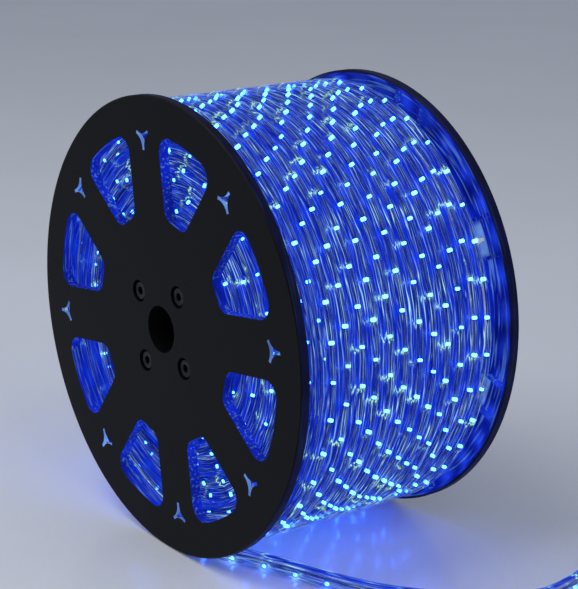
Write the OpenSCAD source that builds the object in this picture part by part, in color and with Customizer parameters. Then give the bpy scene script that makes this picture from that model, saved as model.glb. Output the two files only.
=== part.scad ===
// Rope light on its reel: a clear 13 mm PVC rope with a lamp every 28 mm, wound in neat layers
// on a black moulded reel that stands on the rims of its two flanges.
// X points to the side where the loose end runs off, Y runs along the reel's axis from the
// front flange to the back one, and Z is up. The origin is on the floor, under the middle of
// the reel. Lengths are in millimetres and angles in degrees.

/* [Reel] */
// Diameter of the two flanges
flange_d = 350; // [346:2:400]
// Width of the reel over both flanges
reel_w = 200; // [192:1:240]
// Outer diameter of the barrel that the rope is wound on
barrel_d = 112; // [106:1:114]
// Wall of the barrel
barrel_wall = 4; // [3:0.5:6]

/* [Flange moulding] */
// Thickness of a flange's plate
plate_t = 3; // [2:0.25:4]
// Depth of a flange's rim, ribs and window collars, from its outer face
rim_depth = 8; // [6:0.5:9.5]
// Wall of the rim
rim_wall = 4; // [2.5:0.5:6]
// Bevel on the rim's edges
rim_bevel = 1; // [0.5:0.25:1.5]
// Wall of the collar around a window
collar_wall = 2.5; // [1.5:0.25:3]
// Thickness of a rib
rib_t = 2.5; // [1.5:0.25:3.5]
// Distance between the middles of the two ribs on a spoke
rib_gap = 30; // [26:1:36]
// Clearance between mouldings that slip into one another
slip = 0.2; // [0.1:0.05:0.4]

/* [Windows] */
// Number of windows in a flange
window_count = 8; // [6:1:8]
// Radius of a window's inner end
window_in_r = 86; // [80:1:100]
// Radius of a window's outer end
window_out_r = 147.5; // [140:0.5:152]
// Width of the spoke between two windows
spoke_w = 42; // [36:1:48]
// Radius of a window's outer corners
window_out_fillet = 12; // [8:1:14]
// Radius of a window's inner corners
window_in_fillet = 10; // [7:1:11]
// Angle of the front flange's first window from the top
front_turn = 14.5; // [0:0.5:44.5]
// Angle of the back flange's first window from the top
back_turn = 41; // [0:0.5:44.5]

/* [Star slots] */
// Radius of the circle that the star slots lie on
slot_circle_r = 143.5; // [138:0.5:150]
// Reach of a star slot's arms
slot_reach = 9; // [7:0.5:10]
// Distance of a star slot's hollow sides from its middle
slot_waist = 3.2; // [2.4:0.1:3.6]
// Width of a star slot's arms at their ends
slot_tip_w = 2.6; // [1.6:0.2:3.6]

/* [Hub] */
// Diameter of the bore for a spindle
bore_d = 36; // [25:1:40]
// Wall around the spindle bore
bore_wall = 5; // [3:0.5:6]
// Depth of the spindle boss and the bolt bosses, from the outer face
boss_depth = 16; // [14:0.5:20]
// Depth of the ring that locates the barrel, from the outer face
spigot_depth = 12; // [10:0.5:16]
// Wall of the rings that locate the barrel
spigot_wall = 3; // [2:0.5:4]

/* [Tie bolts] */
// Number of tie bolts
bolt_count = 4; // [3:1:4]
// Angle of the first bolt from the top
bolt_turn = 37; // [0:1:89]
// Radius of the circle that the bolts stand on
bolt_circle_r = 38; // [37:0.5:39]
// Diameter of a bolt
bolt_d = 8; // [6:0.5:8]
// Diameter of a bolt's head
head_d = 13; // [11:0.5:14]
// Height of a bolt's head
head_h = 7; // [5:0.5:7.5]
// Size of the hexagon socket in the head
socket_d = 6; // [4:0.5:7]
// Width of a nut across its flats
nut_w = 13; // [11:0.5:13]
// Height of a nut
nut_h = 6.5; // [5:0.5:7]
// Diameter of a washer
washer_d = 16; // [14:0.5:16]
// Thickness of a washer
washer_t = 1.6; // [1:0.1:2]
// Diameter of the pocket that a head or a nut sits in
pocket_d = 17; // [16.5:0.25:18]
// Depth of the pocket
pocket_depth = 10; // [9.5:0.25:11]
// Wall around the pocket
pocket_wall = 2; // [1.5:0.25:2.5]
// How far a bolt's end stands out of its nut
bolt_proud = 0.8; // [0.4:0.1:1]
// Clearance around the bolts
bolt_slack = 0.15; // [0.1:0.05:0.3]

/* [Rope] */
// Diameter of the rope
rope_d = 13; // [12.5:0.1:13.2]
// Number of layers on the barrel
layer_count = 10; // [6:1:10]
// Gap between the front flange and the winding
winding_gap = 2.5; // [1:0.25:4]
// How far neighbouring turns press into each other
squeeze = 0.2; // [0.1:0.05:0.4]
// Gap between the barrel and the first layer
barrel_gap = 0.1; // [0.05:0.05:0.3]
// How far the rope fills the groove between two turns, above their middles
groove_fill = 2; // [1:0.25:3]

/* [Rope core] */
// Length of a lamp, which lies across the rope
lamp_l = 6.6; // [5:0.2:6.8]
// Diameter of a lamp
lamp_d = 3; // [2:0.2:3.2]
// Number of lamps in one turn of the outer layer
lamps_per_turn = 37; // [24:1:40]
// How far each turn's lamps are ahead of the next turn's, as a part of their spacing
lamp_stagger = 0.38; // [0:0.02:0.5]
// Diameter of the thin wire that links the lamps
link_d = 0.7; // [0.4:0.1:1]
// Diameter of the two supply wires
bus_d = 1.1; // [0.8:0.1:1.3]
// Distance of the supply wires from the rope's middle
bus_offset = 5; // [4.8:0.05:5.2]
// Clearance around what lies inside the rope
core_slack = 0.1; // [0.05:0.05:0.15]

/* [End cap] */
// Wall of the cap on the loose end
cap_wall = 1.5; // [1:0.25:1.5]
// Length of rope inside the cap
cap_grip = 18; // [12:1:19]
// Thickness of the cap's closed end
cap_end = 5; // [3:0.5:8]

/* [Hidden] */
// The outer layer has as many turns side by side as fit between the two flanges.
lane_count = floor((reel_w - 2 * rim_depth - winding_gap - squeeze) / rope_d);

$fn = 96;

black = [0.05, 0.05, 0.06];
black_steel = [0.16, 0.16, 0.18];
glowing_blue = [0.08, 0.22, 1.0];
lamp_white = [0.75, 0.95, 1.0];
copper = [0.72, 0.45, 0.25];

// A cut runs this far past the faces that it opens.
over = 1;

flange_r = flange_d / 2;
barrel_r = barrel_d / 2;
rope_r = rope_d / 2;
bore_r = bore_d / 2;

// Windows and spokes: both sides of a window run parallel to the spokes beside it.
half_step = 180 / window_count;
out_corner = corner_on_arc(window_out_r - window_out_fillet, spoke_w / 2 + window_out_fillet);
in_corner_x = window_in_r + window_in_fillet;
in_corner_y = in_corner_x * tan(half_step) - (spoke_w / 2 + window_in_fillet) / cos(half_step);

// Winding: layers nest in the grooves of the layer beneath, and every second one is a turn short.
layer_step = rope_d * sin(60);
turn_r = rope_r + squeeze / 2;
first_lane_z = rim_depth + winding_gap + rope_r;
outer_lay_r = layer_r(layer_count - 1);
under_lay_r = layer_r(layer_count - 2);

// The outer layer's first turn comes over from the second one between these angles, measured
// from the top towards +X, goes on over the top, and leaves the reel at the bottom.
cross_from = 100;
cross_to = 27;
leave_at = 180;
cross_mid = (cross_from + cross_to) / 2;
cross_slope = rope_d / (2 * outer_lay_r * sin((cross_from - cross_to) / 2));

channel_r = norm([lamp_l / 2, lamp_d / 2]) + core_slack;
lamp_step = 360 / lamps_per_turn;
lamp_turn = 3.5;

// Corners of what is hidden inside the rope and under the outer layer.
channel_sides = 8;
wire_sides = 6;
layer_sides = 12;

// Tie bolts: a washer lies on the floor of each pocket, under the head or the nut.
seat_z = pocket_depth - washer_t;
bolt_end = seat_z - nut_h - bolt_proud;
boss_d = pocket_d + 2 * pocket_wall;
spigot_r = barrel_r - barrel_wall - slip;

// Route of the loose rope's middle line, from where it leaves the reel.
tail_points = [
    [0, -84, 11], [24, -84, 8.5], [47, -79, 6.5], [70, -68.5, 6.5], [95, -58.5, 6.5],
    [120, -49.5, 6.5], [145, -40, 6.5], [168, -29, 6.5], [189, -15, 6.5], [208, 2, 6.5],
    [225, 21, 6.5], [240, 42, 6.5], [248, 65, 6.5], [246, 90, 6.5], [240.5, 113, 6.5],
    [236, 136, 8], [233, 156, 8]
];
tail_start = [1, 0, 0];
tail_sides = 12;

// ---- Functions ----

// Middle of a circle that lies at this radius and at this distance from a spoke's middle line.
function corner_on_arc(radius, offset) =
    let (slope = tan(half_step), drop = offset / cos(half_step), a = 1 + slope * slope)
    let (x = (slope * drop + sqrt(a * radius * radius - drop * drop)) / a)
    [x, x * slope - drop];

function layer_r(j) = barrel_r + barrel_gap + turn_r + j * layer_step;

// A full layer has lane_count turns. A short one has one less, half a turn further in.
function is_short(j) = (layer_count - 1 - j) % 2 == 1;
function lane_z(j, k) = first_lane_z + k * rope_d + (is_short(j) ? rope_r : 0);
function last_lane(j) = lane_count - (is_short(j) ? 2 : 1);

// The lamp strings are numbered from the front flange, in two digits.
function lamp_string_name(k) = str("lamp_string_", k < 9 ? "0" : "", k + 1);

function unit(v) = v / norm(v);

// Direction of the loose rope at point i of its route.
function tail_dir(i) =
    i == 0 ? tail_start
    : i == len(tail_points) - 1 ? unit(tail_points[i] - tail_points[i - 1])
    : unit(unit(tail_points[i + 1] - tail_points[i]) + unit(tail_points[i] - tail_points[i - 1]));

// Ring of points around point i of the route, square to it, with one corner pointing down.
function tail_ring(i) =
    let (side = unit(cross(tail_dir(i), [0, 0, 1])), up = cross(side, tail_dir(i)))
    [for (s = [0:tail_sides - 1])
        let (a = 360 * s / tail_sides)
        tail_points[i] + rope_r * (cos(a) * side + sin(a) * up)];

// ---- Building blocks, in the reel's own frame: z runs inwards from the front face ----

// Sets the reel's own frame on its side, with its axis along Y and its rims on the floor.
module on_rims() {
    translate([0, -reel_w / 2, flange_r]) rotate([-90, 0, 0]) children();
}

// Turns +X to an angle that is counted from the top of the standing reel towards +X.
module at_angle(angle) {
    rotate([0, 0, angle - 90]) children();
}

module tube(outer_r, inner_r, from_z, to_z) {
    translate([0, 0, from_z]) difference() {
        cylinder(r = outer_r, h = to_z - from_z);
        translate([0, 0, -over]) cylinder(r = inner_r, h = to_z - from_z + 2 * over);
    }
}

// Outline of a window around the +X axis, grown outwards by an amount.
module window_outline(grow) {
    out_r = window_out_fillet + grow;
    in_r = window_in_fillet + grow;
    side = [-sin(half_step), cos(half_step)];
    out_side = out_corner + out_r * side;
    in_side = [in_corner_x, in_corner_y] + in_r * side;
    arc_end = out_corner * (window_out_r + grow) / norm(out_corner);
    beyond = window_out_r * 1.1;
    intersection() {
        circle(r = window_out_r + grow);
        union() {
            for (flip = [-1, 1]) {
                translate([out_corner[0], flip * out_corner[1]]) circle(r = out_r);
                translate([in_corner_x, flip * in_corner_y]) circle(r = in_r);
            }
            polygon([
                [window_in_r - grow, -in_corner_y], [in_side[0], -in_side[1]],
                [out_side[0], -out_side[1]], [arc_end[0], -arc_end[1]], [beyond, 0],
                arc_end, out_side, in_side, [window_in_r - grow, in_corner_y]
            ]);
        }
    }
}

// Three-armed star with hollow sides and blunt arms, one arm along +X.
module star_outline() {
    tip_angle = 60 - asin(slot_tip_w / 2 / slot_reach);
    bite_depth = slot_reach * cos(tip_angle) - slot_waist;
    bite_r = (pow(bite_depth, 2) + pow(slot_reach * sin(tip_angle), 2)) / (2 * bite_depth);
    difference() {
        circle(r = slot_reach);
        for (a = [60, 180, 300])
            rotate(a) translate([slot_waist + bite_r, 0]) circle(r = bite_r);
    }
}

module rim() {
    rotate_extrude() polygon([
        [flange_r - rim_wall, 0], [flange_r - rim_bevel, 0], [flange_r, rim_bevel],
        [flange_r, rim_depth - rim_bevel], [flange_r - rim_bevel, rim_depth],
        [flange_r - rim_wall, rim_depth]
    ]);
}

// The two ribs behind a spoke, from the barrel's seat to the rim.
module spoke_ribs() {
    seat_r = barrel_r + slip + spigot_wall / 2;
    for (flip = [-1, 1])
        translate([seat_r, flip * rib_gap / 2 - rib_t / 2, plate_t / 2])
            cube([flange_r - rim_wall / 2 - seat_r - over, rib_t, rim_depth - plate_t / 2]);
}

// One flange, with its outer face at z = 0 and its ribs on the far side.
module flange(first_angle) {
    difference() {
        union() {
            cylinder(r = flange_r - rim_wall / 2, h = plate_t);
            rim();
            tube(barrel_r + slip + spigot_wall, barrel_r + slip, plate_t / 2, rim_depth);
            tube(spigot_r, spigot_r - spigot_wall, plate_t / 2, spigot_depth);
            cylinder(r = bore_r + bore_wall, h = boss_depth);
            for (i = [0:bolt_count - 1])
                at_angle(bolt_turn + i * 360 / bolt_count)
                    translate([bolt_circle_r, 0, 0]) cylinder(d = boss_d, h = boss_depth);
            for (i = [0:window_count - 1]) {
                at_angle(first_angle + 2 * i * half_step)
                    linear_extrude(rim_depth) window_outline(collar_wall);
                at_angle(first_angle + (2 * i + 1) * half_step) spoke_ribs();
            }
        }
        translate([0, 0, -over]) cylinder(r = bore_r, h = boss_depth + 2 * over);
        for (i = [0:bolt_count - 1])
            at_angle(bolt_turn + i * 360 / bolt_count)
                translate([bolt_circle_r, 0, -over]) {
                    cylinder(d = pocket_d, h = pocket_depth + over);
                    cylinder(d = bolt_d + 2 * bolt_slack, h = boss_depth + 2 * over);
                }
        for (i = [0:window_count - 1]) {
            at_angle(first_angle + 2 * i * half_step) translate([0, 0, -over])
                linear_extrude(rim_depth + 2 * over) window_outline(0);
            at_angle(first_angle + (2 * i + 1) * half_step)
                translate([slot_circle_r, 0, -over]) rotate(i % 4 < 2 ? 0 : 180)
                    linear_extrude(plate_t + 2 * over) star_outline();
        }
    }
}

// Places one copy of a tie bolt's part on each bolt's axis.
module at_bolts() {
    for (i = [0:bolt_count - 1])
        at_angle(bolt_turn + i * 360 / bolt_count)
            translate([bolt_circle_r, 0, 0]) children();
}

// Cross-section of one turn of the outer layer, with what ties it to the turn behind it.
module lane_section(k) {
    z = lane_z(layer_count - 1, k);
    translate([outer_lay_r, z]) circle(r = turn_r);
    if (k < lane_count - 1)
        polygon([
            [under_lay_r, z + rope_r], [outer_lay_r + groove_fill, z],
            [outer_lay_r + groove_fill, z + rope_d]
        ]);
}

// Cross-section of all the layers, without the outer layer's first turn.
module winding_section() {
    for (j = [0:layer_count - 2]) {
        first_z = lane_z(j, 0);
        last_z = lane_z(j, last_lane(j));
        translate([layer_r(j) - turn_r, first_z]) square([2 * turn_r, last_z - first_z]);
        for (z = [first_z, last_z])
            translate([layer_r(j), z]) circle(r = turn_r, $fn = layer_sides);
    }
    for (k = [1:lane_count - 1]) lane_section(k);
    translate([under_lay_r, lane_z(layer_count - 1, 1)])
        square([layer_step + groove_fill, (lane_count - 2) * rope_d]);
}

// Cross-section of the channel and the wire holes inside turn k of the outer layer.
module core_section(k) {
    translate([outer_lay_r, lane_z(layer_count - 1, k)]) {
        rotate(180 / channel_sides)
            circle(r = channel_r / cos(180 / channel_sides), $fn = channel_sides);
        for (flip = [-1, 1])
            translate([0, flip * bus_offset])
                circle(d = bus_d + 2 * core_slack, $fn = wire_sides);
    }
}

// Sweeps what lies inside the first turn from where it leaves to where it crosses over.
module along_first_turn() {
    at_angle(leave_at) rotate_extrude(angle = cross_to + 360 - leave_at) children();
}

// The outer layer's first turn. Past cross_to it slants away under the second turn.
module first_turn() {
    reach = outer_lay_r * 0.8;
    difference() {
        at_angle(leave_at) rotate_extrude(angle = cross_from + 360 - leave_at) lane_section(0);
        at_angle(cross_mid) translate([reach, 0, lane_z(layer_count - 1, 0)])
            rotate([atan(cross_slope), 0, 0])
                translate([-reach / 2, -reach, -2 * rope_d]) cube([reach, 2 * reach, 2 * rope_d]);
    }
}

// ---- Pieces ----

module front_flange() {
    color(black) on_rims() flange(front_turn);
}

module back_flange() {
    color(black) on_rims() translate([0, 0, reel_w]) mirror([0, 0, 1]) flange(back_turn);
}

module barrel() {
    color(black) on_rims()
        tube(barrel_r, barrel_r - barrel_wall, plate_t, reel_w - plate_t);
}

module tie_bolts() {
    color(black_steel) on_rims() at_bolts() difference() {
        union() {
            translate([0, 0, seat_z - head_h]) cylinder(d = head_d, h = head_h);
            translate([0, 0, seat_z]) cylinder(d = bolt_d, h = reel_w - seat_z - bolt_end);
        }
        translate([0, 0, seat_z - head_h - over])
            cylinder(d = socket_d / cos(30), h = head_h / 2 + over, $fn = 6);
    }
}

module tie_washers() {
    color(black_steel) on_rims() at_bolts()
        for (z = [seat_z, reel_w - pocket_depth])
            tube(washer_d / 2, bolt_d / 2 + bolt_slack, z, z + washer_t);
}

module tie_nuts() {
    color(black_steel) on_rims() at_bolts()
        translate([0, 0, reel_w - seat_z]) difference() {
            cylinder(d = nut_w / cos(30), h = nut_h, $fn = 6);
            translate([0, 0, -over]) cylinder(d = bolt_d + bolt_slack, h = nut_h + 2 * over);
        }
}

module rope_coil() {
    color(glowing_blue) on_rims() difference() {
        union() {
            rotate_extrude() winding_section();
            first_turn();
        }
        rotate_extrude() for (k = [1:lane_count - 1]) core_section(k);
        along_first_turn() core_section(0);
    }
}

module supply_wires() {
    color(copper) on_rims() {
        rotate_extrude() for (k = [1:lane_count - 1]) wire_pair(k);
        along_first_turn() wire_pair(0);
    }
}

module wire_pair(k) {
    for (flip = [-1, 1])
        translate([outer_lay_r, lane_z(layer_count - 1, k) + flip * bus_offset])
            circle(d = bus_d, $fn = wire_sides);
}

module link_section(z) {
    translate([outer_lay_r, z]) circle(d = link_d, $fn = wire_sides);
}

// The lamps of turn k, threaded on their link wire.
module lamp_string(k) {
    z = lane_z(layer_count - 1, k);
    whole = k > 0;
    first = lamp_turn + k * lamp_stagger * lamp_step;
    color(lamp_white) on_rims() {
        for (i = [0:lamps_per_turn - 1]) {
            angle = (first + i * lamp_step) % 360;
            if (whole || angle < cross_to - lamp_step / 4 || angle > leave_at + lamp_step / 4)
                at_angle(angle) translate([outer_lay_r, 0, z - lamp_l / 2])
                    cylinder(d = lamp_d, h = lamp_l);
        }
        if (whole) rotate_extrude() link_section(z);
        else along_first_turn() link_section(z);
    }
}

module rope_tail() {
    last = len(tail_points) - 1;
    n = tail_sides;
    color(glowing_blue) polyhedron(
        points = [for (i = [0:last]) each tail_ring(i)],
        faces = [
            [for (s = [n - 1:-1:0]) s],
            for (i = [0:last - 1], s = [0:n - 1])
                [i * n + s, i * n + (s + 1) % n, (i + 1) * n + (s + 1) % n, (i + 1) * n + s],
            [for (s = [0:n - 1]) last * n + s]
        ]
    );
}

module end_cap() {
    tip = tail_points[len(tail_points) - 1];
    dir = tail_dir(len(tail_points) - 1);
    color(black) translate(tip) rotate([0, 0, atan2(dir[1], dir[0])]) rotate([0, 90, 0])
        difference() {
            translate([0, 0, -cap_grip])
                cylinder(r = rope_r + cap_wall, h = cap_grip + cap_end);
            translate([0, 0, -cap_grip - over]) cylinder(r = rope_r + core_slack, h = cap_grip + over);
        }
}

front_flange();
back_flange();
barrel();
tie_bolts();
tie_washers();
tie_nuts();
rope_coil();
supply_wires();
rope_tail();
end_cap();
for (k = [0:lane_count - 1])
    lamp_string(k);
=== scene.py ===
import math

import bmesh
import bpy
import numpy as np
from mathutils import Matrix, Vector


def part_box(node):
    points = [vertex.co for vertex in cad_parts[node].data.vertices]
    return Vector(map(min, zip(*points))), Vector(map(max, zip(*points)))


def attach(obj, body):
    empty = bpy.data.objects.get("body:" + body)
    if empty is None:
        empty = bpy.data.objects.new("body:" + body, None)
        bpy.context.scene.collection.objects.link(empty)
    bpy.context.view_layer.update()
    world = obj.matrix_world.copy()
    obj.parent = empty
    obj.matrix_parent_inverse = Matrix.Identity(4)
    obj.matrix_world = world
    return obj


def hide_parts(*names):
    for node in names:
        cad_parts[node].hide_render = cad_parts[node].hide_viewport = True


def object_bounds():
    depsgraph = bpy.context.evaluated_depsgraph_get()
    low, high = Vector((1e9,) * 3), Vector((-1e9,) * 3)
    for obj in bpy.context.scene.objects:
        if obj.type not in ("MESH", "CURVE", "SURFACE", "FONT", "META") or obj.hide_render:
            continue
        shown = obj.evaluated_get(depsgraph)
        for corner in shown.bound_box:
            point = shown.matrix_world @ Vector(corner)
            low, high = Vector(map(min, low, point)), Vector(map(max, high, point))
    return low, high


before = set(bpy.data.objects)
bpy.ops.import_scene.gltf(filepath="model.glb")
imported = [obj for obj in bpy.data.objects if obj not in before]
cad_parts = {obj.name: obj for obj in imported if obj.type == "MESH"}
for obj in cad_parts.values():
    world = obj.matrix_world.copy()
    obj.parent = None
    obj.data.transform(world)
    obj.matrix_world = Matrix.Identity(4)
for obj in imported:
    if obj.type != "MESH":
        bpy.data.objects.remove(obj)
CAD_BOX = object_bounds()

# A rope light on its reel. The reel's parts keep their CAD shapes and get materials. The rope is
# rebuilt as clear jackets round a lit core, with two wires, a link wire and lamps inside.
# Lengths are in metres and angles in radians, unless a name ends in _DEG.

# The rope's section. On the reel its jacket is a little thinner, which leaves a groove between
# the turns.
ROPE_R = 0.0065
JACKET_R = 0.0064
WIRE_R = 0.00055
WIRE_OFFSET = 0.005

# The opaque core under the lamps: points across the rope and outwards.
CORE_SECTION = [
    (0.0, -0.0060), (-0.0040, -0.0046), (-0.0052, -0.0033), (-0.0026, -0.0035),
    (0.0, -0.0036), (0.0026, -0.0035), (0.0052, -0.0033), (0.0040, -0.0046),
]

# The link wire, which swings across the rope and a little in and out between two lamps.
LINK_R = 0.00035
LINK_SHIFT = 0.0024
LINK_LIFT = 0.0004

# A lamp, and its outline as places along its half length and parts of its radius.
LAMP_R = 0.00128
LAMP_HALF = 0.0021
LAMP_PROFILE = [(-0.90, 0.62), (-0.62, 1.0), (0.62, 1.0), (0.90, 0.62)]
INNER_LAMP_SIZE = 0.8
LAMP_SIZE_SPREAD = (0.85, 1.12)
LAMP_TILT_SPREAD = (-0.16, 0.16)

# Number of sides of the round bodies.
JACKET_SIDES = 18
INNER_JACKET_SIDES = 14
WIRE_SIDES = 5
LINK_SIDES = 4
LAMP_SIDES = 8

# The winding. A layer lies in the grooves of the one below: its step is 2 ROPE_R sin 60 degrees.
LAMPS_PER_TURN = 37
STEPS_PER_LAMP = 4
LAYER_COUNT = 10
LAYER_STEP = 0.011258
SOLID_TURN_R = 0.0066
LAMP_TILT = math.radians(42)

# Lamp phase of each turn in the outer layer, as a part of the lamp pitch.
LAMP_PHASES = [0.75, 0.33, 0.0, 0.6, 0.0, 0.5, 0.93, 0.3, 0.7, 0.05, 0.7, 0.53, 0.6]

# How far each turn's lamps lie off its middle: outwards, and towards the back flange.
LAMP_LIFT = 0.0026
LAMP_SHIFTS = [0.0020, 0.0035, 0.0035, 0.0035, 0.0022, 0.0026, 0.0028,
               0.0034, 0.0035, 0.0035, 0.0033, 0.0035, 0.0026]

# The end turns of the inner layers: between which angles their lamps lean towards the flange.
INNER_LEAN_DEG = (-20, 68)

# Where a closed turn begins and ends, and about how far it strays outwards and sideways.
RING_START_DEG = 200
STRAY_OUT = 0.00018
STRAY_SIDE = 0.0003

# The first turn: where it leaves the floor, and where it slants away under the second turn.
LEAVE_DEG = 180
CROSS_FROM_DEG = 387
CROSS_TO_DEG = 460
CROSS_DIP = 0.0085

# Route of the loose end's middle line, as in the part's source.
TAIL_ROUTE = [
    (0, -0.084, 0.011), (0.024, -0.084, 0.0085), (0.047, -0.079, 0.0065),
    (0.070, -0.0685, 0.0065), (0.095, -0.0585, 0.0065), (0.120, -0.0495, 0.0065),
    (0.145, -0.040, 0.0065), (0.168, -0.029, 0.0065), (0.189, -0.015, 0.0065),
    (0.208, 0.002, 0.0065), (0.225, 0.021, 0.0065), (0.240, 0.042, 0.0065),
    (0.248, 0.065, 0.0065), (0.246, 0.090, 0.0065), (0.2405, 0.113, 0.0065),
    (0.236, 0.136, 0.008), (0.233, 0.156, 0.008),
]

# How the loose end is turned about its own line, and where its lamps lie.
TAIL_TWIST = math.radians(-55)
TAIL_LAMP_LIFT = 0.0033
TAIL_PHASE = 0.33

# The bed keeps light from passing between the turns: its steps round the reel, and how far it
# stays behind the end turns and under the outer layer.
BED_STEPS = 144
BED_BEHIND = 0.003
BED_BELOW_OUTER = 0.006

# The star slots of the flanges: their number, the circle they lie on, how far they reach from
# it at most, and the first one's angle on each flange.
SLOT_COUNT = 8
SLOT_CIRCLE_R = 0.1435
SLOT_REACH = 0.0115
FRONT_SLOT_DEG = 37
BACK_SLOT_DEG = 63.5

# Where the rope's light is painted on a flange: the ring round the barrel's seat, and all that
# lies outside the hub, apart from the edge. It is painted brighter in the windows, and the
# lamps' painted glow is strongest at GLOW_R.
WINDOWS_OUT_TO = 0.152
SEAT_R = 0.0562
SEAT_DEPTH_Y = 0.0925
HUB_R = 0.060
GLOW_R = 0.166
UNLIT_EDGE = 0.0012

# The photo's camera.
CAMERA_PLACE = (1.0668, -0.7671, 0.5717)
CAMERA_AZIMUTH_DEG = 53.628
CAMERA_ELEVATION_DEG = 16.412
CAMERA_LENS_MM = 107.75
SENSOR_WIDTH_MM = 36

# The floor: half its width, and how far it lies below the part.
FLOOR_HALF = 6.0
FLOOR_GAP = 0.0002


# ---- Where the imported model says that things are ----

COIL_LOW, COIL_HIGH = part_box("rope_coil")
AXIS_Z = (COIL_LOW.z + COIL_HIGH.z) / 2
OUTER_R = (COIL_HIGH.z - COIL_LOW.z) / 2 - SOLID_TURN_R
FLANGE_R = (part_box("front_flange")[1].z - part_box("front_flange")[0].z) / 2


def lane_middle(lane):
    low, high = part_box("lamp_string_%02d" % (lane + 1))
    return (low.y + high.y) / 2


LANES = [lane_middle(lane) for lane in range(len(LAMP_PHASES))]
LAMP_PITCH = 2 * math.pi * OUTER_R / LAMPS_PER_TURN


# ---- Mesh building ----

class Batch:
    """Collects swept bodies and lamps, and makes one mesh object of them."""

    def __init__(self):
        self.points = []
        self.faces = []
        self.uvs = []
        self.count = 0

    def add_points(self, points):
        first = self.count
        self.points.append(np.asarray(points, float).reshape(-1, 3))
        self.count += len(self.points[-1])
        return first

    def add_face(self, corners, uvs):
        self.faces.append(corners)
        self.uvs.extend(uvs)

    def sweep(self, line, section, closed, pattern_width=1.0):
        """Sweeps a section of points across and outwards along a line. Its pattern is
        pattern_width wide from the section's first point round to the same point."""
        section = np.asarray(section, float)
        middle, out, across, lamp = line
        points = (
            middle[:, None, :]
            + across[:, None, :] * section[None, :, 0:1]
            + out[:, None, :] * section[None, :, 1:2]
        )
        first = self.add_points(points)
        rows, sides = len(middle), len(section)
        spans = rows if closed else rows - 1
        for i in range(spans):
            here, there = first + i * sides, first + (i + 1) % rows * sides
            u0, u1 = lamp[i], lamp[i + 1]
            for j in range(sides):
                k = (j + 1) % sides
                v0, v1 = j * pattern_width / sides, (j + 1) * pattern_width / sides
                corners = (here + j, here + k, there + k, there + j)
                self.add_face(corners, [(u0, v0), (u0, v1), (u1, v1), (u1, v0)])
        if not closed:
            self.cap(first, sides, lamp[0])
            self.cap(first + (rows - 1) * sides, sides, lamp[rows - 1])

    def cap(self, first, sides, lamp):
        self.add_face(tuple(range(first, first + sides)), [(lamp, 0.5)] * sides)

    def lamp(self, middle, out, across, number, size):
        """One lamp: a rounded capsule that lies across the rope. Its v goes from 0 to 1 from tip to
        tip, and its u is the lamp's number."""
        along = np.cross(across, out)
        rows = []
        for reach, width in LAMP_PROFILE:
            for s in range(LAMP_SIDES):
                a = 2 * math.pi * s / LAMP_SIDES
                spoke = math.cos(a) * out + math.sin(a) * along
                rows.append(middle + (across * reach * LAMP_HALF + spoke * width * LAMP_R) * size)
        first = self.add_points(rows)
        tip = across * LAMP_HALF * size
        tips = self.add_points([middle - tip, middle + tip])
        bands = len(LAMP_PROFILE) - 1
        step = 1 / (bands + 2)
        last = first + bands * LAMP_SIDES
        for s in range(LAMP_SIDES):
            t = (s + 1) % LAMP_SIDES
            for band in range(bands):
                v0, v1 = (band + 1) * step, (band + 2) * step
                low = first + band * LAMP_SIDES
                high = low + LAMP_SIDES
                corners = (low + s, low + t, high + t, high + s)
                self.add_face(corners, [(number, v0), (number, v0), (number, v1), (number, v1)])
            start, end = (number, step), (number, 1 - step)
            self.add_face((tips, first + t, first + s), [(number, 0.0), start, start])
            self.add_face((tips + 1, last + s, last + t), [(number, 1.0), end, end])

    def make(self, name, material, slot):
        mesh = bpy.data.meshes.new(name)
        mesh.from_pydata(np.concatenate(self.points).tolist(), [], self.faces)
        layer = mesh.uv_layers.new(name="RopeUV")
        layer.data.foreach_set("uv", np.asarray(self.uvs, np.float32).ravel())
        mesh.polygons.foreach_set("use_smooth", [True] * len(mesh.polygons))
        mesh.materials.append(material)
        piece = bpy.data.objects.new(name, mesh)
        bpy.context.scene.collection.objects.link(piece)
        face_outwards(mesh)
        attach(piece, "root")
        return piece


def face_outwards(mesh):
    work = bmesh.new()
    work.from_mesh(mesh)
    bmesh.ops.recalc_face_normals(work, faces=work.faces)
    work.to_mesh(mesh)
    work.free()


def round_section(radius, sides, shift=0.0):
    """A circle that starts on the rope's inner side, moved across the rope by shift."""
    turns = [2 * math.pi * s / sides for s in range(sides)]
    return [(shift + radius * math.sin(a), -radius * math.cos(a)) for a in turns]


# ---- Lines that the rope follows ----
#
# A line is its middle points, the outward and cross directions there, and the lamp count, which
# goes up or down by 1 from lamp to lamp.

def around_axis(theta):
    """Directions straight away from the reel's axis, and along it, at angles from the top."""
    radial = np.stack([np.sin(theta), np.zeros(len(theta)), np.cos(theta)], 1)
    return radial, np.tile([0.0, 1.0, 0.0], (len(theta), 1))


def wave(theta, size, seed):
    """A slight waviness that closes on itself after one turn. Its highest value lies between 0.8
    and 1.9, depending on the draws."""
    rng = np.random.RandomState(seed)
    total = np.zeros_like(theta)
    for cycles in (2, 3, 5, 8, 13):
        total += rng.uniform(0.4, 1.0) * np.sin(cycles * theta + rng.uniform(0, 2 * math.pi))
    return size * total / 2.2


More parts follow.
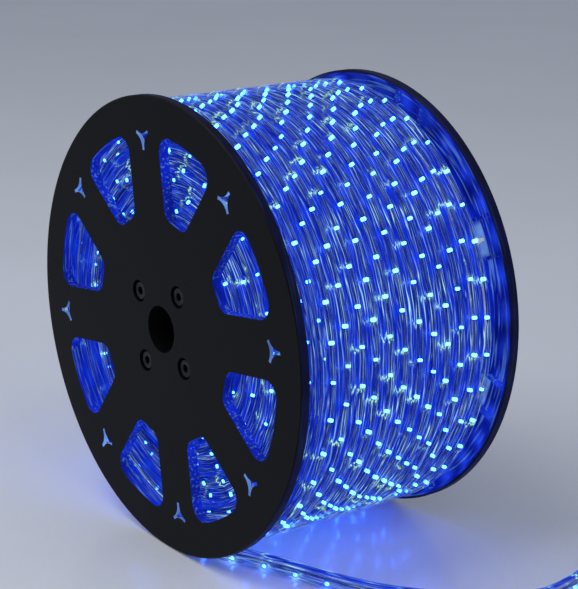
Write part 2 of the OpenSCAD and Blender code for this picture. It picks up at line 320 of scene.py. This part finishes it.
def ring_line(radius, y, phase, lamps, seed, lean=0.0):
    """One closed turn of rope round the reel. Lean turns the lamps towards the reel's end."""
    count = lamps * STEPS_PER_LAMP
    turn = np.arange(count + 1) / count
    theta = (math.radians(RING_START_DEG) + 2 * math.pi * turn)[:-1]
    radial, side = around_axis(theta)
    middle = radial * (radius + wave(theta, STRAY_OUT, seed))[:, None]
    middle[:, 1] = y + wave(theta, STRAY_SIDE, seed + 500)
    middle[:, 2] += AXIS_Z
    out = radial * math.cos(lean) + side * math.sin(lean)
    across = side * math.cos(lean) - radial * math.sin(lean)
    lamp = (turn + RING_START_DEG / 360) * lamps - phase
    return middle, out, across, lamp


def first_turn_line():
    """The free turn beside the front flange, from the floor to where it dives under the next one."""
    step = 360 / LAMPS_PER_TURN / STEPS_PER_LAMP
    degrees = np.arange(LEAVE_DEG, CROSS_TO_DEG + step / 2, step)
    slant = np.clip((degrees - CROSS_FROM_DEG) / (CROSS_TO_DEG - CROSS_FROM_DEG), 0, 1)
    slant = slant * slant * (3 - 2 * slant)
    radial, across = around_axis(np.radians(degrees))
    middle = radial * (OUTER_R - CROSS_DIP * slant)[:, None]
    middle[:, 1] = LANES[0] + (LANES[1] - LANES[0]) * slant
    middle[:, 2] += AXIS_Z
    lamp = degrees / (360 / LAMPS_PER_TURN) - LAMP_PHASES[0]
    return middle, radial, across, lamp


def tail_line():
    """The loose end: a smooth curve through the route, with the lamps turned towards its side."""
    route = np.array(TAIL_ROUTE)
    gaps = np.linalg.norm(np.diff(route, axis=0), axis=1)
    knots = np.concatenate([[0], np.cumsum(gaps)])
    slopes = np.gradient(route, knots, axis=0)
    slopes[0] = (1, 0, 0)
    count = int(round(knots[-1] / LAMP_PITCH * STEPS_PER_LAMP))
    place = np.linspace(0, knots[-1], count + 1)
    span = np.clip(np.searchsorted(knots, place, side="right") - 1, 0, len(gaps) - 1)
    width = gaps[span][:, None]
    t = ((place - knots[span]) / gaps[span])[:, None]
    middle = (
        (2 * t**3 - 3 * t**2 + 1) * route[span]
        + (t**3 - 2 * t**2 + t) * width * slopes[span]
        + (3 * t**2 - 2 * t**3) * route[span + 1]
        + (t**3 - t**2) * width * slopes[span + 1]
    )
    middle[:, 2] = np.maximum(middle[:, 2], ROPE_R)
    middle[:, 0] = np.minimum(middle[:, 0], CAD_BOX[1].x - ROPE_R)
    along = np.gradient(middle, axis=0)
    along /= np.linalg.norm(along, axis=1)[:, None]
    side = np.cross(along, (0, 0, 1))
    side /= np.linalg.norm(side, axis=1)[:, None]
    up = np.cross(side, along)
    out = side * math.cos(TAIL_TWIST) + up * math.sin(TAIL_TWIST)
    across = np.cross(out, along)
    lamp = LEAVE_DEG / (360 / LAMPS_PER_TURN) - LAMP_PHASES[0] + TAIL_PHASE - place / LAMP_PITCH
    return middle, out, across, lamp


def at_lamps(line, closed):
    """Middle, outward and cross direction, and number of each lamp on a line."""
    middle, out, across, lamp = line
    if closed:
        middle, out, across = (np.vstack([rows, rows[:1]]) for rows in (middle, out, across))
    if lamp[-1] < lamp[0]:
        middle, out, across, lamp = (rows[::-1] for rows in (middle, out, across, lamp))
    margin = 0.02
    numbers = np.arange(math.ceil(lamp[0] + margin), math.floor(lamp[-1] - margin) + 1)
    found = []
    for rows in (middle, out, across):
        found.append(np.stack([np.interp(numbers, lamp, rows[:, c]) for c in range(3)], 1))
    return zip(*found, numbers)


def link_line(line):
    """The thin wire from each lamp's one end to the next lamp's other end."""
    middle, out, across, lamp = line
    part = (lamp[: len(middle)] % 1.0)[:, None]
    shift = LINK_SHIFT * np.cos(math.pi * part)
    lift = LINK_LIFT * np.sin(4 * math.pi * part)
    return middle + across * shift + out * lift, out, across, lamp


def shifted(line, seed):
    """The same line, with its lamp count moved on by whole lamps so that its pattern differs."""
    middle, out, across, lamp = line
    return middle, out, across, lamp + 41 * seed


# ---- Node graphs ----

class Graph:
    """One material's nodes. Most methods add nodes and give the socket with their result."""

    def __init__(self, name):
        self.material = bpy.data.materials.new(name)
        self.material.use_nodes = True
        self.tree = self.material.node_tree
        self.tree.nodes.clear()
        self.output = self.tree.nodes.new("ShaderNodeOutputMaterial")

    def plug(self, socket, value):
        if isinstance(value, bpy.types.NodeSocket):
            self.tree.links.new(value, socket)
        else:
            socket.default_value = value

    def add(self, kind, sockets, **settings):
        node = self.tree.nodes.new("ShaderNode" + kind)
        for key, value in settings.items():
            setattr(node, key, value)
        for key, value in sockets.items():
            self.plug(node.inputs[key], value)
        return node

    def finish(self, shader):
        self.tree.links.new(shader, self.output.inputs["Surface"])
        return self.material

    def math(self, operation, a, b=0.0, clamp=False):
        return self.add("Math", {0: a, 1: b}, operation=operation, use_clamp=clamp).outputs[0]

    def rise(self, value, start, gain):
        """0 up to start, and from there rising with the value up to 1."""
        return self.math("MULTIPLY", self.math("SUBTRACT", value, start), gain, clamp=True)

    def fall(self, value, end, gain):
        """1 for low values, falling to 0 at end."""
        return self.math("MULTIPLY", self.math("SUBTRACT", end, value), gain, clamp=True)

    def ridge(self, value, level, sharpness):
        """1 where a value passes through a level, falling off to 0 on both sides: a thin line."""
        away = self.math("ABSOLUTE", self.math("SUBTRACT", value, level))
        return self.math("SUBTRACT", 1.0, self.math("MULTIPLY", away, sharpness), clamp=True)

    def squares(self, a, b):
        return self.math("ADD", self.math("MULTIPLY", a, a), self.math("MULTIPLY", b, b))

    def split(self, vector):
        node = self.add("SeparateXYZ", {"Vector": vector})
        return [node.outputs[axis] for axis in "XYZ"]

    def place(self):
        return self.add("TexCoord", {}).outputs["Object"]

    def noise(self, vector, scale, detail=2.0):
        return self.add("TexNoise", {"Vector": vector, "Scale": scale, "Detail": detail}).outputs["Fac"]

    def stretched(self, u, v, across, along, seed, detail=1.0):
        """Noise in the rope's own pattern, drawn out along it."""
        x = self.math("MULTIPLY", u, along)
        y = self.math("MULTIPLY", v, across)
        spot = self.add("CombineXYZ", {"X": x, "Y": y, "Z": float(seed)}).outputs[0]
        return self.noise(spot, 1.0, detail)

    def ramp(self, value, stops):
        node = self.add("ValToRGB", {"Fac": value})
        ramp = node.color_ramp
        while len(ramp.elements) < len(stops):
            ramp.elements.new(0.5)
        for element, (position, colour) in zip(ramp.elements, stops):
            element.position = position
            element.color = (*colour, 1.0)
        return node.outputs["Color"]

    def mix_colour(self, factor, a, b):
        node = self.add("Mix", {}, data_type="RGBA")
        self.plug(node.inputs[0], factor)
        self.plug(node.inputs[6], a)
        self.plug(node.inputs[7], b)
        return node.outputs[2]


# ---- The rope's pattern ----
#
# Its u is the lamp count along the rope. Its v is the place round it: 0 on the outer side, and
# -0.5 or 0.5 on the inner side.

def rope_place(graph):
    u, v, _ = graph.split(graph.add("UVMap", {}, uv_map="RopeUV").outputs["UV"])
    return u, graph.math("SUBTRACT", v, 0.5)


def glow(graph, u, v, along, across):
    """1 over a lamp, falling off along and across the rope: fast where these two are large."""
    part = graph.math("FRACT", graph.math("ADD", u, 0.5))
    du = graph.math("MULTIPLY", graph.math("SUBTRACT", part, 0.5), along)
    dv = graph.math("MULTIPLY", v, across)
    return graph.math("EXPONENT", graph.math("MULTIPLY", graph.squares(du, dv), -1.0))


def busy_places(graph):
    """0.62 where the rope looks smooth, up to 1 where it is full of lines."""
    spot = graph.add("Mapping", {"Vector": graph.place(), "Scale": (1.0, 0.55, 1.0)})
    patch = graph.noise(spot.outputs[0], 26.0)
    return graph.math("MAXIMUM", graph.rise(patch, 0.40, 5.0), 0.62)


def line_set(graph, u, v, count, seed):
    """Evenly thin lines along the rope that wander a little and come and go: pale and dark ones."""
    wander = graph.math("MULTIPLY", graph.stretched(u, v, 5.0, 0.5, seed, 2.0), 0.22 * count)
    part = graph.math("FRACT", graph.math("ADD", graph.math("MULTIPLY", v, count), wander))
    shown = graph.stretched(u, v, 1.1 * count, 0.9, seed + 1)
    pale = graph.math("MULTIPLY", graph.ridge(part, 0.30, 4.4), graph.rise(shown, 0.46, 8.0))
    dark = graph.math("MULTIPLY", graph.ridge(part, 0.68, 3.4), graph.fall(shown, 0.60, 7.0))
    return pale, dark


def rope_lines(graph, u, v):
    """Thin pale lines along the rope, and dark lines beside them: a coarse and a fine set. The pale
    lines are painted reflections of ridges in the jacket.
    """
    busy = busy_places(graph)
    pale, dark = line_set(graph, u, v, 16.0, 1)
    fine_pale, fine_dark = line_set(graph, u, v, 25.0, 21)
    pale = graph.math("MAXIMUM", pale, graph.math("MULTIPLY", fine_pale, 0.5))
    dark = graph.math("MAXIMUM", dark, graph.math("MULTIPLY", fine_dark, 0.6))
    return graph.math("MULTIPLY", pale, busy), graph.math("MULTIPLY", dark, busy)


def painted_lamp_glints(graph, u, v):
    """Grainy painted glints on a crooked line that crosses the rope at a lamp, in some places only."""
    curl = graph.stretched(u, v, 20.0, 1.0, 4, 2.0)
    bend = graph.math("MULTIPLY", graph.math("SUBTRACT", curl, 0.5), 0.55)
    here = graph.math("FRACT", graph.math("ADD", graph.math("ADD", u, 0.5), bend))
    some_places = graph.rise(graph.noise(graph.place(), 34.0, 1.0), 0.49, 9.0)
    grains = graph.rise(graph.stretched(u, v, 34.0, 14.0, 6), 0.36, 6.0)
    crossing = graph.math("MULTIPLY", graph.ridge(here, 0.5, 9.0), grains)
    return graph.math("MULTIPLY", crossing, some_places)


def side_shade(graph, v):
    """1 on the outer part of the rope, falling to 0.3 where it touches the next turn: painted shade
    in the groove between the turns.
    """
    return graph.math("MAXIMUM", graph.fall(graph.math("ABSOLUTE", v), 0.25, 14.0), 0.3)


# ---- Materials of the rope ----

BASE_BLUE = (0.004, 0.022, 0.46, 1.0)
DARK_BLUE = (0.0, 0.0, 0.012, 1.0)
# Painted reflection on the jacket's pale lines.
PAINTED_RIDGE_REFLECTION = (0.60, 1.15, 1.10, 1.0)
# Painted glints at the lamps.
PAINTED_GLINT = (0.60, 1.30, 0.72, 1.0)
# Painted shade in the grooves between the turns.
PAINTED_GROOVE_SHADE = (0.001, 0.005, 0.15, 1.0)
NEAR_LAMP_BLUE = (0.005, 0.036, 0.62, 1.0)
CORE_COLOURS = [
    (0.30, (0.0008, 0.005, 0.22)),
    (0.50, (0.002, 0.014, 0.44)),
    (0.68, (0.006, 0.035, 0.62)),
]
LAMP_COLOURS = [(0.1, (0.001, 0.010, 0.4)), (0.7, (0.022, 0.11, 1.0))]


def jacket_material(name, in_winding):
    """Clear PVC: most of it lets the lit core through, and its lines and painted glints hide it.
    Its pale lines are painted reflections, and in the winding shade is painted where turns touch.
    """
    graph = Graph(name)
    u, v = rope_place(graph)
    pale, dark = rope_lines(graph, u, v)
    glint_mask = painted_lamp_glints(graph, u, v)
    colour = graph.mix_colour(dark, BASE_BLUE, DARK_BLUE)
    # Painted reflections on the pale lines.
    colour = graph.mix_colour(pale, colour, PAINTED_RIDGE_REFLECTION)
    # Painted glints at the lamps.
    colour = graph.mix_colour(glint_mask, colour, PAINTED_GLINT)
    # Painted shade where the turns touch one another.
    if in_winding:
        colour = graph.mix_colour(side_shade(graph, v), PAINTED_GROOVE_SHADE, colour)
    bump = graph.add("Bump", {"Strength": 0.12, "Distance": 0.0003, "Height": pale})
    surface = graph.add("BsdfPrincipled", {
        "Base Color": (0.004, 0.015, 0.12, 1.0),
        "Roughness": 0.28,
        "Specular IOR Level": 0.04,
        "Emission Color": colour,
        "Emission Strength": 1.0,
        "Normal": bump.outputs[0],
    })
    marks = graph.math("MULTIPLY", graph.math("MAXIMUM", pale, dark), 0.95)
    open_part = graph.math("MULTIPLY", glow(graph, u, v, 10.0, 4.5), -0.8)
    cover = graph.math("MULTIPLY", graph.math("MAXIMUM", marks, 0.35),
                       graph.math("ADD", open_part, 1.0))
    cover = graph.math("MAXIMUM", cover, graph.math("MULTIPLY", glint_mask, 0.9))
    clear = graph.add("BsdfTransparent", {})
    mix = graph.add("MixShader", {0: cover, 1: clear.outputs[0], 2: surface.outputs[0]})
    return graph.finish(mix.outputs[0])


def core_material():
    """The opaque core, lit by the lamps: brighter beside them."""
    graph = Graph("rope_core")
    u, v = rope_place(graph)
    colour = graph.ramp(graph.stretched(u, v, 16.0, 1.2, 3), CORE_COLOURS)
    surface = graph.add("BsdfPrincipled", {
        "Base Color": (0.003, 0.014, 0.14, 1.0),
        "Roughness": 0.5,
        "Specular IOR Level": 0.05,
        "Emission Color": graph.mix_colour(glow(graph, u, v, 4.6, 0.0), colour, NEAR_LAMP_BLUE),
        "Emission Strength": 1.0,
    })
    return graph.finish(surface.outputs[0])


def bed_material():
    """The rope behind the turns that show, half as bright as their cores."""
    graph = Graph("rope_bed")
    u, v = rope_place(graph)
    surface = graph.add("BsdfPrincipled", {
        "Base Color": (0.002, 0.010, 0.10, 1.0),
        "Roughness": 0.6,
        "Specular IOR Level": 0.05,
        "Emission Color": graph.ramp(graph.stretched(u, v, 16.0, 1.2, 5), CORE_COLOURS),
        "Emission Strength": 0.5,
    })
    return graph.finish(surface.outputs[0])


def lamp_material():
    """A lit LED, brightest in the middle of its length."""
    graph = Graph("lamp")
    _, v = rope_place(graph)
    aside = graph.math("MULTIPLY", graph.math("ABSOLUTE", v), 2.0)
    surface = graph.add("BsdfPrincipled", {
        "Base Color": (0.1, 0.16, 0.2, 1.0),
        "Roughness": 0.3,
        "Emission Color": graph.ramp(graph.math("SUBTRACT", 1.0, aside), LAMP_COLOURS),
        "Emission Strength": 30.0,
    })
    return graph.finish(surface.outputs[0])


def copper_material():
    """Tinned copper, tarnished in patches."""
    graph = Graph("tinned_copper")
    tarnish = graph.noise(graph.place(), 900.0)
    surface = graph.add("BsdfPrincipled", {
        "Base Color": graph.ramp(tarnish, [(0.35, (0.06, 0.06, 0.07)), (0.65, (0.20, 0.20, 0.21))]),
        "Metallic": 1.0,
        "Roughness": 0.32,
    })
    return graph.finish(surface.outputs[0])


# ---- The rope's light, painted on the reel as a glow ----

# Colours of the rope's light painted on the flanges and the barrel as a glow, and of the painted
# reflection of the rope's lines.
UNLIT = (0.0, 0.0, 0.0, 1.0)
PAINTED_FLANGE_GLOW = (0.0005, 0.005, 0.31, 1.0)
PAINTED_WINDOW_GLOW = (0.003, 0.018, 0.60, 1.0)
PAINTED_LAMP_GLOW = (0.012, 0.05, 0.85, 1.0)
PAINTED_LINE_REFLECTION = (0.08, 0.20, 0.66, 1.0)
PAINTED_SLOT_GLOW = (0.15, 0.32, 0.90, 1.0)
PAINTED_BARREL_GLOW = (0.0005, 0.004, 0.20, 1.0)


def reel_place(graph):
    """A point's place from the middle of the reel, and its normal."""
    form = graph.add("NewGeometry", {})
    x, y, z = graph.split(form.outputs["Position"])
    return (x, y, graph.math("SUBTRACT", z, AXIS_Z)), graph.split(form.outputs["Normal"])


def painted_light_part(graph, y, radius, normal_y):
    """1 where the rope's light is painted on a flange: where it doesn't face away from the rope,
    outside the hub, and round the seat.
    """
    outward = graph.math("MULTIPLY", normal_y, graph.math("SIGN", y))
    inward = graph.fall(outward, 0.75, 2.5)
    edge = graph.math("MAXIMUM", graph.fall(radius, FLANGE_R - UNLIT_EDGE, 900.0), 0.08)
    near_seat = graph.fall(graph.math("ABSOLUTE", y), SEAT_DEPTH_Y, 900.0)
    seat = graph.math("MULTIPLY", near_seat, graph.rise(radius, SEAT_R, 600.0))
    beyond_hub = graph.rise(radius, HUB_R, 120.0)
    where = graph.math("MAXIMUM", beyond_hub, seat)
    return graph.math("MULTIPLY", graph.math("MULTIPLY", inward, edge), where)


def star_slots(graph, turn, radius, y):
    """1 on a flange's star slots, and 0 on its windows and everywhere else."""
    slot = graph.math("MULTIPLY", turn, SLOT_COUNT / LAMPS_PER_TURN)
    middle = (FRONT_SLOT_DEG + BACK_SLOT_DEG) / 2 / 360 * SLOT_COUNT
    half = (BACK_SLOT_DEG - FRONT_SLOT_DEG) / 2 / 360 * SLOT_COUNT
    first = graph.math("ADD", graph.math("MULTIPLY", graph.math("SIGN", y), half), middle - 0.5)
    part = graph.math("FRACT", graph.math("SUBTRACT", slot, first))
    aside = graph.math("ABSOLUTE", graph.math("SUBTRACT", part, 0.5))
    beyond = graph.math("ABSOLUTE", graph.math("SUBTRACT", radius, SLOT_CIRCLE_R))
    return graph.math("MULTIPLY", graph.fall(aside, 0.12, 30.0), graph.fall(beyond, SLOT_REACH, 600.0))


def flange_painted_light(graph):
    """The rope's light painted on a flange as a glow: brighter in the windows, beside the last
    turn's lamps and in the star slots, with a painted reflection of the rope's lines in it."""
    (x, y, z), (_, normal_y, _) = reel_place(graph)
    radius = graph.math("SQRT", graph.squares(x, z))
    turn = graph.math("DIVIDE", graph.math("ARCTAN2", x, z), 2 * math.pi / LAMPS_PER_TURN)
    painted_colour = graph.mix_colour(graph.fall(radius, WINDOWS_OUT_TO, 300.0), PAINTED_FLANGE_GLOW, PAINTED_WINDOW_GLOW)
    lamp = graph.math("SUBTRACT", turn, LAMP_PHASES[-1])
    reach = graph.math("MULTIPLY", graph.math("SUBTRACT", radius, GLOW_R), 22.0)
    painted_colour = graph.mix_colour(glow(graph, lamp, reach, 3.2, 5.0), painted_colour, PAINTED_LAMP_GLOW)
    streaks = graph.add("CombineXYZ", {
        "X": graph.math("MULTIPLY", turn, 0.8),
        "Y": graph.math("MULTIPLY", radius, 520.0),
        "Z": graph.math("MULTIPLY", y, 520.0),
    })
    lines = graph.rise(graph.noise(streaks.outputs[0], 1.0), 0.55, 7.0)
    painted_colour = graph.mix_colour(lines, painted_colour, PAINTED_LINE_REFLECTION)
    painted_colour = graph.mix_colour(star_slots(graph, turn, radius, y), painted_colour, PAINTED_SLOT_GLOW)
    cloud = graph.noise(graph.place(), 45.0)
    uneven = graph.math("ADD", graph.math("MULTIPLY", cloud, 1.5), -0.05, clamp=True)
    lit = graph.math("MULTIPLY", painted_light_part(graph, y, radius, normal_y), uneven)
    return graph.mix_colour(lit, UNLIT, painted_colour)


def barrel_painted_light(graph):
    """The rope's light painted as a glow on the barrel's outside, where the winding leaves it bare
    at its ends.
    """
    (x, _, z), (normal_x, _, normal_z) = reel_place(graph)
    outward = graph.math("ADD", graph.math("MULTIPLY", normal_x, x),
                         graph.math("MULTIPLY", normal_z, z))
    return graph.mix_colour(graph.math("MULTIPLY", outward, 100.0, clamp=True), UNLIT, PAINTED_BARREL_GLOW)


# ---- Materials of the reel and the floor ----

def plastic_material(name, light=None):
    """Moulded black plastic: fine grain, faint flow marks, and the rope's light painted on as a
    glow where it has one.
    """
    graph = Graph(name)
    place = graph.place()
    patches = graph.noise(place, 18.0, 4.0)
    grain = graph.noise(place, 2600.0)
    colour = graph.ramp(patches, [(0.35, (0.0022, 0.0022, 0.0026)), (0.7, (0.005, 0.005, 0.006))])
    bump = graph.add("Bump", {"Strength": 0.2, "Distance": 0.0002, "Height": grain})
    surface = graph.add("BsdfPrincipled", {
        "Base Color": colour,
        "Roughness": graph.math("ADD", graph.math("MULTIPLY", patches, 0.20), 0.42),
        "Specular IOR Level": 0.10,
        "Normal": bump.outputs[0],
    })
    # The rope's light on this part is painted into its emission as a glow.
    if light:
        graph.plug(surface.inputs["Emission Color"], light(graph))
        graph.plug(surface.inputs["Emission Strength"], 1.0)
    return graph.finish(surface.outputs[0])


def steel_material():
    """Blackened steel, rubbed brighter in places."""
    graph = Graph("black_steel")
    rubbed = graph.noise(graph.place(), 260.0, 3.0)
    surface = graph.add("BsdfPrincipled", {
        "Base Color": graph.ramp(rubbed, [(0.4, (0.006, 0.006, 0.007)), (0.75, (0.04, 0.04, 0.045))]),
        "Metallic": 0.85,
        "Roughness": graph.math("ADD", graph.math("MULTIPLY", rubbed, 0.25), 0.28),
    })
    return graph.finish(surface.outputs[0])


def floor_material():
    graph = Graph("floor")
    cloud = graph.noise(graph.place(), 3.0, 3.0)
    surface = graph.add("BsdfPrincipled", {
        "Base Color": graph.ramp(cloud, [(0.3, (0.78, 0.79, 0.80)), (0.7, (0.82, 0.83, 0.84))]),
        "Roughness": 0.2,
    })
    return graph.finish(surface.outputs[0])


# ---- Camera, light and floor ----

def look_from(azimuth_deg, elevation_deg):
    a, e = math.radians(azimuth_deg), math.radians(elevation_deg)
    return Vector((math.sin(a) * math.cos(e), -math.cos(a) * math.cos(e), math.sin(e)))


def turn_towards(thing, direction):
    thing.rotation_mode = "QUATERNION"
    thing.rotation_quaternion = direction.to_track_quat("-Z", "Y")


def make_camera():
    data = bpy.data.cameras.new("camera")
    data.lens = CAMERA_LENS_MM
    data.sensor_width = SENSOR_WIDTH_MM
    data.clip_start = 0.05
    data.clip_end = 50
    data.dof.use_dof = False
    camera = bpy.data.objects.new("camera", data)
    camera.location = CAMERA_PLACE
    turn_towards(camera, -look_from(CAMERA_AZIMUTH_DEG, CAMERA_ELEVATION_DEG))
    bpy.context.scene.collection.objects.link(camera)
    bpy.context.scene.camera = camera


def make_light(name, azimuth_deg, elevation_deg, distance, size, power, colour):
    """A soft square light that faces the middle of the reel."""
    data = bpy.data.lights.new(name, "AREA")
    data.size = size
    data.energy = power
    data.color = colour
    light = bpy.data.objects.new(name, data)
    away = look_from(azimuth_deg, elevation_deg)
    light.location = away * distance + Vector((0, 0, AXIS_Z))
    turn_towards(light, -away)
    bpy.context.scene.collection.objects.link(light)


def make_studio():
    """Soft light from all round and two large lights."""
    world = bpy.data.worlds.new("studio")
    world.use_nodes = True
    back = world.node_tree.nodes["Background"]
    back.inputs["Color"].default_value = (0.62, 0.68, 0.82, 1.0)
    back.inputs["Strength"].default_value = 0.42
    bpy.context.scene.world = world
    make_light("key", azimuth_deg=-20, elevation_deg=55, distance=2.6, size=2.0,
               power=34.0, colour=(0.92, 0.95, 1.0))
    make_light("fill", azimuth_deg=95, elevation_deg=40, distance=2.8, size=2.2,
               power=16.0, colour=(0.85, 0.9, 1.0))
    bpy.context.scene.view_settings.view_transform = "Standard"


def make_floor():
    mesh = bpy.data.meshes.new("floor")
    work = bmesh.new()
    bmesh.ops.create_grid(work, x_segments=8, y_segments=8, size=FLOOR_HALF)
    work.to_mesh(mesh)
    work.free()
    floor = bpy.data.objects.new("floor", mesh)
    floor.location.z = CAD_BOX[0].z - FLOOR_GAP
    mesh.materials.append(floor_material())
    bpy.context.scene.collection.objects.link(floor)


# ---- The rope ----

class RopeParts:
    """The jackets, cores, wires, link wires and lamps of some stretches of rope."""

    SLOTS = {"jacket": "rope_pvc", "core": "rope_pvc", "wire": "copper", "link": "copper",
             "lamp": "lamp"}

    def __init__(self, radius, lamp_tilt, lamp_lift, seed):
        self.batches = {name: Batch() for name in self.SLOTS}
        self.radius = radius
        self.lamp_tilt = lamp_tilt
        self.lamp_lift = lamp_lift
        self.rng = np.random.RandomState(seed)

    def add(self, line, closed, sides=JACKET_SIDES, lamp_shift=0.0, lamp_size=1.0):
        """Adds one stretch of rope. Lamp_shift moves its lamps towards the back flange."""
        self.batches["jacket"].sweep(line, round_section(self.radius, sides), closed)
        self.batches["core"].sweep(line, CORE_SECTION, closed)
        for side in (-WIRE_OFFSET, WIRE_OFFSET):
            self.batches["wire"].sweep(line, round_section(WIRE_R, WIRE_SIDES, side), closed)
        self.batches["link"].sweep(link_line(line), round_section(LINK_R, LINK_SIDES), closed)
        for middle, out, across, number in at_lamps(line, closed):
            tilt = self.lamp_tilt + self.rng.uniform(*LAMP_TILT_SPREAD)
            long_way = across * math.cos(tilt) + out * math.sin(tilt)
            short_way = out * math.cos(tilt) - across * math.sin(tilt)
            place = middle + out * self.lamp_lift + across * lamp_shift
            own_size = lamp_size * self.rng.uniform(*LAMP_SIZE_SPREAD)
            self.batches["lamp"].lamp(place, short_way, long_way, number, own_size)

    def make(self, prefix, materials):
        made = {}
        for name, slot in self.SLOTS.items():
            made[name] = self.batches[name].make(prefix + "_" + name, materials[name], slot)
        return made


def make_tail(materials):
    parts = RopeParts(ROPE_R, lamp_tilt=0.0, lamp_lift=TAIL_LAMP_LIFT, seed=5)
    line = tail_line()
    parts.add(line, closed=False)
    made = parts.make("tail", materials)
    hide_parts("rope_tail")


def layer_place(layer):
    """A layer's radius, and how far inside the full width its end turns lie."""
    above = LAYER_COUNT - 1 - layer
    return OUTER_R - above * LAYER_STEP, ROPE_R * (above % 2)


def add_outer_turns(parts):
    parts.add(first_turn_line(), closed=False, lamp_shift=LAMP_SHIFTS[0])
    for lane in range(1, len(LANES)):
        line = ring_line(OUTER_R, LANES[lane], LAMP_PHASES[lane], LAMPS_PER_TURN, lane)
        parts.add(shifted(line, lane), closed=True, lamp_shift=LAMP_SHIFTS[lane])


def add_inner_turns(parts):
    """The turns of the inner layers that lie at the two ends of the winding."""
    for layer in range(LAYER_COUNT - 1):
        radius, inset = layer_place(layer)
        lamps = int(round(2 * math.pi * radius / LAMP_PITCH))
        for end, y in enumerate((LANES[0] + inset, LANES[-1] - inset)):
            seed = 20 + 2 * layer + end
            rng = np.random.RandomState(seed)
            facing = -1 if end == 0 else 1
            lean = facing * math.radians(rng.uniform(*INNER_LEAN_DEG))
            line = ring_line(radius, y, rng.uniform(0, 1), lamps, seed, lean)
            parts.add(shifted(line, seed), True, INNER_JACKET_SIDES, lamp_size=INNER_LAMP_SIZE)


def bed_section():
    """Half a section through the winding, behind the turns that show: places along the axis and
    out from it, from the bore and round."""
    front, back = [], []
    for layer in range(LAYER_COUNT):
        radius, inset = layer_place(layer)
        if layer == LAYER_COUNT - 1:
            radius -= BED_BELOW_OUTER
            inset = ROPE_R
        front.append((LANES[0] + inset + BED_BEHIND, radius))
        back.append((LANES[-1] - inset - BED_BEHIND, radius))
    bore = layer_place(0)[0] - ROPE_R
    return [(front[0][0], bore)] + front + back[::-1] + [(back[0][0], bore)]


def make_bed(material):
    turn = np.arange(BED_STEPS + 1) / BED_STEPS
    radial, across = around_axis(2 * math.pi * turn[:-1])
    middle = np.tile([0.0, 0.0, AXIS_Z], (BED_STEPS, 1))
    section = bed_section()
    batch = Batch()
    batch.sweep((middle, radial, across, LAMPS_PER_TURN * turn), section, True, len(section))
    batch.make("coil_bed", material, "rope_pvc")


def make_coil(materials):
    parts = RopeParts(JACKET_R, LAMP_TILT, LAMP_LIFT, seed=6)
    add_outer_turns(parts)
    add_inner_turns(parts)
    made = parts.make("coil", materials)
    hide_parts("rope_coil")
    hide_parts("supply_wires")
    strings = ["lamp_string_%02d" % (lane + 1) for lane in range(len(LANES))]
    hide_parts(*strings)
    make_bed(materials["bed"])


def dress(material, *names):
    for name in names:
        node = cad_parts[name]
        node.data.materials.clear()
        node.data.materials.append(material)


def main():
    make_camera()
    materials = {
        "jacket": jacket_material("rope_jacket", in_winding=True),
        "core": core_material(),
        "wire": copper_material(),
        "lamp": lamp_material(),
        "bed": bed_material(),
    }
    materials["link"] = materials["wire"]
    make_tail({**materials, "jacket": jacket_material("loose_rope_jacket", in_winding=False)})
    make_coil(materials)
    # The flanges and the barrel get the rope's light painted on as a glow.
    dress(plastic_material("black_plastic_painted_glow", flange_painted_light), "front_flange", "back_flange")
    dress(plastic_material("barrel_plastic_painted_glow", barrel_painted_light), "barrel")
    dress(plastic_material("black_plastic"), "end_cap")
    dress(steel_material(), "tie_bolts", "tie_washers", "tie_nuts")
    make_floor()
    make_studio()


main()
